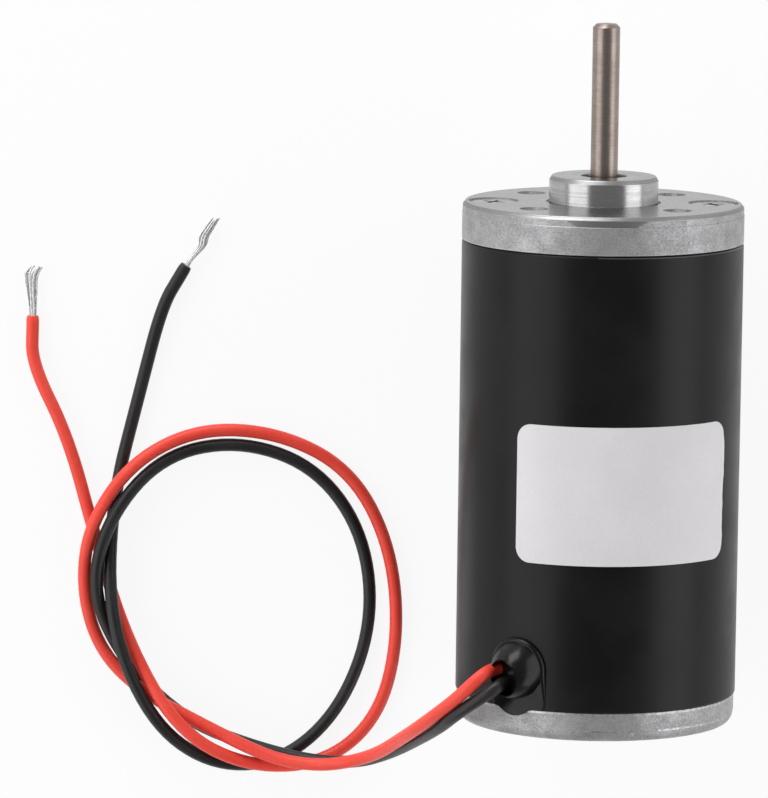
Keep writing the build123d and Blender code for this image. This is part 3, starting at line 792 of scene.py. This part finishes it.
# rear cap
capSet = {
    "roundLength": 1.25, "roundDepth": 0.9, "roundSteps": 10, "edgeBend": 0.1,
    "seamStep": 0.04,  # fine step where the round starts
    "stepBend": 0.03,
    "rubWidth": 0.3,  # front band, in paler metal: a painted highlight
    "rimDepth": 0.2, "hub": 5.6, "bush": 4.01, "bushBack": 56.0, "tapRadius": 1.55,
    "tapChamfer": 0.4,
    "tapStart": 0.25,  # depth at which the chamfer starts
    "seamTurn": 13.5,  # parting line, in degrees from the top
    "seamWidth": 0.14, "seamDepth": 0.035, "seamReach": 10.0,
    "seamFinish": 0.55,  # half width of its finish, as a share of its width
    "seamArea": 1.0,
    "wornSpans": ((-13, 12), (26, 70)),  # lengths of the step with a painted highlight, in degrees from the top
    "wornPast": (0.01, 0.02), "segments": 200,
}


def buildCap():
    values = SimpleNamespace(**capSet)
    outer = capHigh.x / mm
    front = tubeLow.y / mm
    back = capLow.y / mm
    length, depth, step = values.roundLength, values.roundDepth, values.seamStep
    count = values.roundSteps
    turns = [math.radians(90 * part / count) for part in range(1, count + 1)]
    outline = roundCorners([
        (values.bush, -values.bushBack, 0), (values.bush, capHigh.y / mm, 0),
        (values.hub, capHigh.y / mm, values.edgeBend), (values.hub, front, 0),
        (outer, front, values.edgeBend), (outer, front - values.rubWidth, 0),
        (outer, back + length + step, values.stepBend),
        (outer - step, back + length, values.stepBend),
        *[(outer - step - depth * (1 - math.cos(turn)), back + length * (1 - math.sin(turn)), 0) for turn in turns],
        (0, back, 0), (0, -values.bushBack, 0),
    ])
    piece = solid("rearCover", lathe(outline, values.segments))
    tap, wide = values.tapRadius, values.tapRadius + values.tapChamfer
    start = back + values.tapStart
    bore = [
        (0, front + cutPast), (tap, front + cutPast), (tap, start), (wide, start - values.tapChamfer),
        (wide, back - cutPast), (0, back - cutPast),
    ]
    cutters = [drill("capCutter", place, bore) for place in screwPlaces]
    turned = Matrix.Rotation(math.radians(values.seamTurn), 4, "Y")
    size = (values.seamWidth, values.seamReach, values.seamDepth * 2)
    cutters.append(boxCutter("seamCutter", size, turned @ Matrix.Translation((0, front * mm, outer * mm))))
    carve(piece, cutters)
    paint(piece, "castMetal", "rubbedMetal")
    highlightLow = (back + length * (1 - math.sin(turns[0])) - values.wornPast[0]) * mm
    highlightHigh = (back + length + step + values.wornPast[1]) * mm
    seamHalf = math.degrees(values.seamWidth / outer) * values.seamFinish
    for face in piece.data.polygons:
        turn, level = faceTurn(face), face.center.y
        onRim = math.hypot(face.center.x, face.center.z) > (outer - values.rimDepth) * mm
        paleEdge = highlightLow < level < highlightHigh and any(low < turn < high for low, high in values.wornSpans)
        onSeam = face.area < values.seamArea * mm * mm and abs(turn - values.seamTurn) < seamHalf
        # the front band and the spans of the step take paler metal as a painted highlight, and the parting line takes
        # it as a pale line
        if onRim and (paleEdge or onSeam or level > (front - values.rubWidth) * mm):
            face.material_index = 1
    smooth(piece)
    carry(piece, "stator", "cast_metal", "rear_cap")


buildCap()
print("cap built")


# long countersunk screws with a cross recess
screwSet = {
    "radius": 1.5, "head": 2.55, "headBend": 0.08,
    "sink": 0.1,  # how far the head lies below its CAD top
    "endChamfer": 0.3, "crossWidth": 0.6, "crossLength": 2.6, "crossDepth": 0.8, "turn": (24, 61),
    "segments": 72,
}


def buildScrews():
    values = SimpleNamespace(**screwSet)
    low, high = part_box("through_screws")
    top = high.y / mm - values.sink
    end = low.y / mm
    radius, head, chamfer = values.radius, values.head, values.endChamfer
    outline = roundCorners([
        (0, top, 0), (head, top, values.headBend), (radius, top - head + radius, 0),
        (radius, end + chamfer, 0), (radius - chamfer, end, 0), (0, end, 0),
    ])
    piece = solid("clampScrews", latheAt(screwPlaces, outline, values.segments))
    size = (values.crossLength, values.crossDepth * 2, values.crossWidth)
    for place, turn in zip(screwPlaces, values.turn):
        for quarter in (0, 90):
            turned = Matrix.Rotation(math.radians(turn + quarter), 4, "Y")
            onHead = Matrix.Translation(place + Vector((0, top * mm, 0)))
            carve(piece, [boxCutter("crossCutter", size, onHead @ turned)])
    paint(piece, "screwSteel")
    smooth(piece)
    carry(piece, "stator", "screw_steel", "through_screws")


buildScrews()
print("screws built")


# output shaft
shaftSet = {"chamfer": 0.4, "bend": 0.08, "tailBend": 0.1, "segments": 96}


def buildShaft():
    values = SimpleNamespace(**shaftSet)
    radius = shaftHigh.x / mm
    tip = shaftHigh.y / mm
    tail = shaftLow.y / mm
    outline = roundCorners([
        (0, tip, 0), (radius - values.chamfer, tip, values.bend),
        (radius, tip - values.chamfer, values.bend * 2), (radius, tail, values.tailBend),
        (0, tail, 0),
    ])
    piece = solid("driveShaft", lathe(outline, values.segments))
    paint(piece, "shaftSteel")
    smooth(piece)
    carry(piece, "rotor", "shaft_steel", "shaft")


buildShaft()
print("shaft built")


# rubber grommet, lofted in rings from its plug over the flange, up the dome, over the lip and into the cup
def buildGrommet():
    values = SimpleNamespace(**grommetSet)
    radius = bodyRadius / mm + values.skin
    count = values.segments
    angles = [2 * math.pi * step / count for step in range(count)]
    flangeReach = [flangeOutline(angle) for angle in angles]
    for _ in range(values.flangeEase):
        flangeReach = [
            (flangeReach[step - 1] + 2 * flangeReach[step] + flangeReach[(step + 1) % count]) / 4
            for step in range(count)
        ]
    plugEnd = tubeBackDrop - values.plugRoom
    plugReach = [horseshoeReach(angle, values.plugWidth, values.plugTop, plugEnd) for angle in angles]
    shape = bmesh.new()
    made = []

    def flangeRise(along):
        share = min(max(-along / values.legFade, 0.0), 1.0)
        return values.flangeHeight + (values.legHeight - values.flangeHeight) * share

    def lean(across, along):
        return values.mouthLean[0] * across + values.mouthLean[1] * along

    def addRing(reaches, rise, follow, shift=(0.0, 0.0)):
        # rise is a function of the place across and along, follow is how far the ring keeps to the tube's curve
        ring = []
        for step, angle in enumerate(angles):
            reach = reaches[step] if isinstance(reaches, list) else reaches
            across = reach * math.cos(angle)
            along = reach * math.sin(angle)
            height = rise(across, along)
            across += shift[0]
            along += shift[1]
            drop = radius - math.sqrt(radius * radius - across * across)
            place = grommetHeart + grommetOut * ((radius - follow * drop + height) * mm)
            place += grommetSide * (across * mm)
            place.y += along * mm
            ring.append(shape.verts.new(place))
        made.append(ring)

    bevel = values.plugBevel
    addRing([reach - bevel for reach in plugReach], lambda across, along: -values.plugDrop, 1.0)
    addRing(plugReach, lambda across, along: -values.plugDrop + bevel, 1.0)
    addRing(plugReach, lambda across, along: 0.0, 1.0)
    for inset, share in values.flangeEdge:
        addRing([reach - inset for reach in flangeReach], lambda across, along, at=share: flangeRise(along) * at, 1.0)
    sphere = values.domeRadius
    start, end = math.radians(values.domeStart), math.radians(values.domeEnd)
    heart = values.flangeHeight - sphere * math.cos(start)
    for step in range(values.domeRings + 1):
        share = step / values.domeRings
        angle = start + (end - start) * share
        level = heart + sphere * math.cos(angle)
        addRing(
            sphere * math.sin(angle),
            lambda across, along, at=share, top=level: (
                top + (flangeRise(along) - values.flangeHeight) * (1 - at) ** 4 + lean(across, along) * at
            ),
            (1 - share) ** 2,
            [foot + (mouth - foot) * share for foot, mouth in zip(values.domeShift, values.mouthShift)],
        )
    for inset, fall in values.lip:
        addRing(
            sphere * math.sin(end) - inset,
            lambda across, along, at=level - fall: at + lean(across, along),
            0.0,
            values.mouthShift,
        )
    for last, ring in zip(made, made[1:]):
        bridge(shape, last, ring)
    for ring in (made[0], made[-1]):
        middle = shape.verts.new(sum((vert.co for vert in ring), Vector()) / count)
        bridge(shape, ring, [middle] * count)
    piece = solid("cableGrommet", shape)
    paint(piece, "blackRubber")
    smooth(piece, values.sharp)
    carry(piece, "stator", "black_rubber", "lead_grommet")


buildGrommet()
print("grommet built")


# bare label, wrapped round the tube with a softly lifted end
labelSet = {
    "start": -36.5,  # degrees from the top, positive away from the leads
    "sweep": 94.5, "corner": 1.7, "skin": 0.02, "thickness": 0.1, "columns": 160, "rows": 60,
    "ripple": 0.07,
    "waves": ((1.9, 0.0, 0.6), (3.7, 1.0, 0.4)),  # pace, start and share of each
    "waveShare": 0.4,
    "lift": 0.13,  # free end, at its front third
    "liftPlace": 0.45, "liftWidth": 2.6, "endReach": 1.2, "sharp": 40,
}


def buildLabel():
    values = SimpleNamespace(**labelSet)
    low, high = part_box("rating_label")
    middle = (low.y + high.y) / 2 / mm
    half = (high.y - low.y) / 2 / mm
    inner = bodyRadius / mm + values.skin
    length = math.radians(values.sweep) * inner
    corner, columns, rows = values.corner, values.columns, values.rows
    shape = bmesh.new()

    def rise(along, across, layer):
        nearEnd = math.exp(-((length - along) / values.endReach) ** 2)
        wave = sum(math.sin(across * pace + start) * share for pace, start, share in values.waves)
        curl = math.exp(-((across - middle - half * values.liftPlace) / values.liftWidth) ** 2)
        ripple = values.ripple * (1 - values.waveShare + values.waveShare * wave)
        return nearEnd * (ripple * layer + values.lift * curl)

    layers = []
    for layer in (0, 1):
        grid = []
        for column in range(columns + 1):
            along = length * (0.5 - 0.5 * math.cos(math.pi * column / columns))
            inset = corner - min(along, length - along, corner)
            reach = half - corner + math.sqrt(max(corner * corner - inset * inset, 0.0))
            angle = math.radians(values.start) + along / inner
            line = []
            for row in range(rows + 1):
                across = middle + reach * (2 * row / rows - 1)
                radius = (inner + values.thickness * layer + rise(along, across, layer)) * mm
                line.append(shape.verts.new((radius * math.sin(angle), across * mm, radius * math.cos(angle))))
            grid.append(line)
        layers.append(grid)
    for grid in layers:
        for line, following in zip(grid, grid[1:]):
            for row in range(rows):
                shape.faces.new([line[row], following[row], following[row + 1], line[row + 1]])
    rims = []
    for grid in layers:
        sides = [line[-1] for line in grid[1:-1]], [line[0] for line in grid[-2:0:-1]]
        rims.append(grid[0] + sides[0] + grid[-1][::-1] + sides[1])
    bridge(shape, *rims)
    piece = solid("blankLabel", shape)
    paint(piece, "labelPaper")
    smooth(piece, values.sharp)
    carry(piece, "stator", "label_paper", "rating_label")


buildLabel()
print("label built")


# the two leads, along their solids and close to the photograph, with points in millimetres
leadSet = {"diameter": 0.00145, "sides": 6, "thin": 0.86}
redLeadSet = {
    "name": "redLead", "finish": "redVinyl", "slot": "red_vinyl", "node": "red_lead",
    "length": 0.228,
    "points": [
        (-7.7, -49.6, 10.6), (-11.1, -50.0, 11.5), (-12.8, -50.4, 14.2), (-15.6, -53.3, 13.6),
        (-19.7, -57.6, 7.8), (-21.7, -60.2, 1.6), (-23.9, -62.8, -4.1), (-26.9, -64.6, -8.0),
        (-30.9, -65.5, -9.9), (-36.2, -64.9, -11.0), (-43.2, -61.8, -12.6), (-50.8, -58.0, -13.5),
        (-55.7, -53.4, -14.8), (-57.7, -46.3, -14.3), (-56.8, -38.7, -12.5), (-52.0, -31.5, -13.1),
        (-44.4, -27.8, -14.4), (-35.2, -28.4, -14.7), (-27.3, -32.6, -14.7), (-22.8, -41.2, -14.7),
        (-21.8, -51.7, -14.7), (-24.0, -60.9, -14.8), (-30.1, -66.2, -14.4), (-39.1, -66.2, -12.3),
        (-46.8, -61.6, -10.4), (-52.7, -51.9, -14.1), (-56.3, -40.3, -14.9), (-59.3, -29.1, -14.4),
        (-63.5, -20.8, -14.7), (-63.4, -16.3, -14.7), (-63.4, -15.7, -14.7), (-63.4, -15.4, -14.7),
    ],
}
blackLeadSet = {
    "name": "blackLead", "finish": "blackVinyl", "slot": "black_vinyl", "node": "black_lead",
    "length": 0.223,
    "points": [
        (-7.0, -51.2, 11.1), (-10.3, -51.5, 12.3), (-11.1, -51.6, 14.9), (-15.6, -55.1, 12.8),
        (-17.2, -57.2, 9.1), (-19.8, -60.2, 1.6), (-22.6, -63.0, -5.4), (-26.2, -65.0, -9.8),
        (-31.2, -65.4, -11.8), (-37.9, -64.1, -13.2), (-45.8, -61.5, -14.8), (-52.6, -55.1, -14.7),
        (-56.6, -46.7, -13.2), (-54.8, -38.1, -11.9), (-48.9, -31.1, -14.2), (-40.3, -29.2, -14.8),
        (-31.5, -32.0, -14.6), (-25.9, -39.6, -14.7), (-24.7, -49.9, -14.7), (-28.3, -60.0, -14.6),
        (-35.0, -66.2, -14.8), (-43.0, -66.5, -14.3), (-49.8, -60.9, -11.4), (-54.5, -49.8, -12.1),
        (-54.4, -36.4, -14.7), (-51.3, -23.8, -14.7), (-48.9, -14.1, -14.6), (-46.8, -10.5, -14.7),
        (-46.4, -9.8, -14.7), (-46.2, -9.5, -14.7),
    ],
}


def roundCurve(name, diameter, lines, sides, thin=1.0, steps=8):
    # thin is the share of the width that is left at the far end
    curve = bpy.data.curves.new(name, "CURVE")
    curve.dimensions = "3D"
    curve.bevel_depth = diameter / 2
    curve.bevel_resolution = sides
    curve.use_fill_caps = True
    for points in lines:
        line = curve.splines.new("NURBS")
        line.points.add(len(points) - 1)
        for slot, place in zip(line.points, points):
            slot.co = (*place, 1)
        line.points[-1].radius = thin
        line.order_u = 3
        line.use_endpoint_u = True
        line.resolution_u = steps
    return newObject(name, curve)


# bare strands: a bundle that follows a few points from the cut end, in millimetres across and along the table
strandSet = {
    "count": 7, "diameter": 0.25, "depth": 0.32, "flatten": 0.5, "reach": (0.95, 1.02),
    "reachStart": 1.0, "sides": 3,
}
redStrandSet = {
    "name": "redStrandFan", "node": "red_strands",
    "heart": [(0.0, -0.6), (0.0, 0.1), (-0.06, 1.6), (-0.14, 3.0), (-0.22, 4.25), (-0.06, 5.1), (0.45, 5.6)],
    "spread": [0.3, 0.33, 0.42, 0.52, 0.68, 0.72, 0.6],
    "sway": 0.1, "seed": 5,
}
blackStrandSet = {
    "name": "blackStrandFan", "node": "black_strands",
    "heart": [
        (-0.2, -0.6), (0.17, 0.3), (0.75, 1.05), (1.45, 1.85), (1.85, 2.45), (1.85, 3.2), (2.35, 4.1), (3.2, 5.35),
    ],
    "spread": [0.2, 0.2, 0.24, 0.34, 0.42, 0.48, 0.52, 0.4],
    "sway": 0.06, "seed": 11,
}


def buildStrands(values, end):
    # strands side by side, which start as a round bundle
    random.seed(values.seed)
    shared = SimpleNamespace(**strandSet)
    steps = len(values.heart)
    lines = []
    for strand in range(shared.count):
        share = 2 * strand / (shared.count - 1) - 1
        depth = shared.depth * math.sqrt(max(1 - share * share, 0.0)) * (-1) ** strand
        reach = random.uniform(*shared.reach)
        points = []
        for step, ((across, along), width) in enumerate(zip(values.heart, values.spread)):
            sway = values.sway * step / steps
            x = across + width * share + random.uniform(-sway, sway)
            y = along * (reach if along > shared.reachStart else 1.0)
            z = depth * (1 - shared.flatten * step / steps) + random.uniform(-sway, sway)
            points.append((end.x + x * mm, end.y + y * mm, end.z + z * mm))
        lines.append(points)
    piece = roundCurve(values.name, shared.diameter * mm, lines, shared.sides)
    paint(piece, "tinnedWire")
    return carry(piece, "stator", "tinned_wire", values.node)


def buildLead(values, strands):
    points = [tuple(round(number * mm, 6) for number in place) for place in values.points]
    piece = roundCurve(values.name, leadSet["diameter"], [points], leadSet["sides"], leadSet["thin"])
    paint(piece, values.finish)
    carry(piece, "stator", values.slot, values.node)
    fan = buildStrands(strands, Vector(points[-1]))


for leadValues in ((redLeadSet, redStrandSet), (blackLeadSet, blackStrandSet)):
    buildLead(*[SimpleNamespace(**values) for values in leadValues])
print("leads and strands built")


# pale floor and soft studio light
studioSet = {
    "floorSize": 6.0, "floorColour": (0.9, 0.9, 0.9, 1), "floorRoughness": 0.9,
    "floorGlow": 0.9,  # share of the floor that shows as plain white
    "zenith": 0.27, "horizon": 0.62,
    "fade": (0.05, 0.75),  # height over which the horizon fades to the zenith
    "aim": (0, -0.02, 0),
}
# heading is in degrees from the shaft's free end towards +X, height is in degrees above the table
lampSets = {
    "rightLamp": {"heading": 90, "height": 26, "distance": 0.75, "wide": 1.6, "tall": 0.49, "glow": 1.85},
    "leftLamp": {"heading": -90, "height": 33, "distance": 0.75, "wide": 1.6, "tall": 0.61, "glow": 1.65},
    "frontLamp": {"heading": -20, "height": 14, "distance": 0.75, "wide": 0.5, "tall": 0.34, "glow": 5.8},
}


def addFloor():
    shape = bmesh.new()
    bmesh.ops.create_grid(shape, x_segments=1, y_segments=1, size=studioSet["floorSize"] / 2)
    floor = solid("paleFloor", shape)
    floor.location.z = tableTop
    material, tree, bsdf = shader("paleFloor")
    look = {"Base Color": studioSet["floorColour"], "Roughness": studioSet["floorRoughness"], "Specular IOR Level": 0.0}
    feed(tree, bsdf, look)
    rays = put(tree, "ShaderNodeLightPath").outputs
    seen = calc(tree, "MAXIMUM", rays["Is Camera Ray"], rays["Is Glossy Ray"])
    seen = calc(tree, "MAXIMUM", seen, rays["Is Transmission Ray"])
    glow = put(tree, "ShaderNodeEmission", {"Color": (1, 1, 1, 1), "Strength": 1.0}).outputs[0]
    share = calc(tree, "MULTIPLY", seen, studioSet["floorGlow"])
    mix = put(tree, "ShaderNodeMixShader", {0: share, 1: bsdf.outputs[0], 2: glow}).outputs[0]
    feed(tree, tree.nodes["Material Output"], {"Surface": mix})
    floor.data.materials.append(material)


def addWorld():
    world = bpy.data.worlds.new("studioWorld")
    world.use_nodes = True
    tree = world.node_tree
    up = put(tree, "ShaderNodeSeparateXYZ", {0: put(tree, "ShaderNodeTexCoord").outputs["Generated"]}).outputs[2]
    level = spread(tree, up, *studioSet["fade"], studioSet["horizon"], studioSet["zenith"])
    feed(tree, tree.nodes["Background"], {"Color": level})
    scene.world = world


def addLamp(name, values):
    lamp = bpy.data.lights.new(name, "AREA")
    lamp.shape = "RECTANGLE"
    lamp.size, lamp.size_y = values.wide, values.tall
    lamp.energy = values.glow * math.pi * values.wide * values.tall
    holder = newObject(name, lamp)
    holder.visible_camera = False
    heading, height = math.radians(values.heading), math.radians(values.height)
    away = Vector((math.sin(heading) * math.cos(height), math.cos(heading) * math.cos(height), math.sin(height)))
    turn = away.to_track_quat("Z", "Y").to_matrix().to_4x4()
    holder.matrix_world = Matrix.Translation(Vector(studioSet["aim"]) + away * values.distance) @ turn


addFloor()
addWorld()
for lampName, lampValues in lampSets.items():
    addLamp(lampName, SimpleNamespace(**lampValues))
print("floor and lights set")
